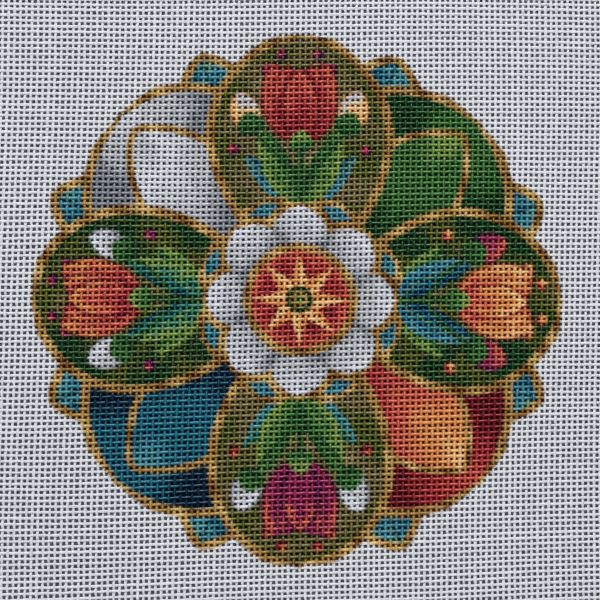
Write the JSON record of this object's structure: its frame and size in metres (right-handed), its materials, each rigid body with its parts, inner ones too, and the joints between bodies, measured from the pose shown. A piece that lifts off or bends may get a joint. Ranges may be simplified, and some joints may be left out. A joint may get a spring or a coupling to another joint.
{
  "type": "needlepoint canvas panel",
  "caption": "Flat square of open even-weave cotton canvas, cut along its threads and printed with a round flower medallion, to be stitched over.",
  "frame": {"origin": "centre of the sheet, on its underside, where it rests", "axes": "+Z out of the printed face, +Y towards the top of the printed design along the upright threads, +X to its right"},
  "size_m": [0.2068, 0.2072, 0.001],
  "materials": {
    "canvas": "starched white cotton, matte, printed in the middle"
  },
  "bodies": {
    "root": {"canvas_panel": "canvas"}
  },
  "joints": []
}
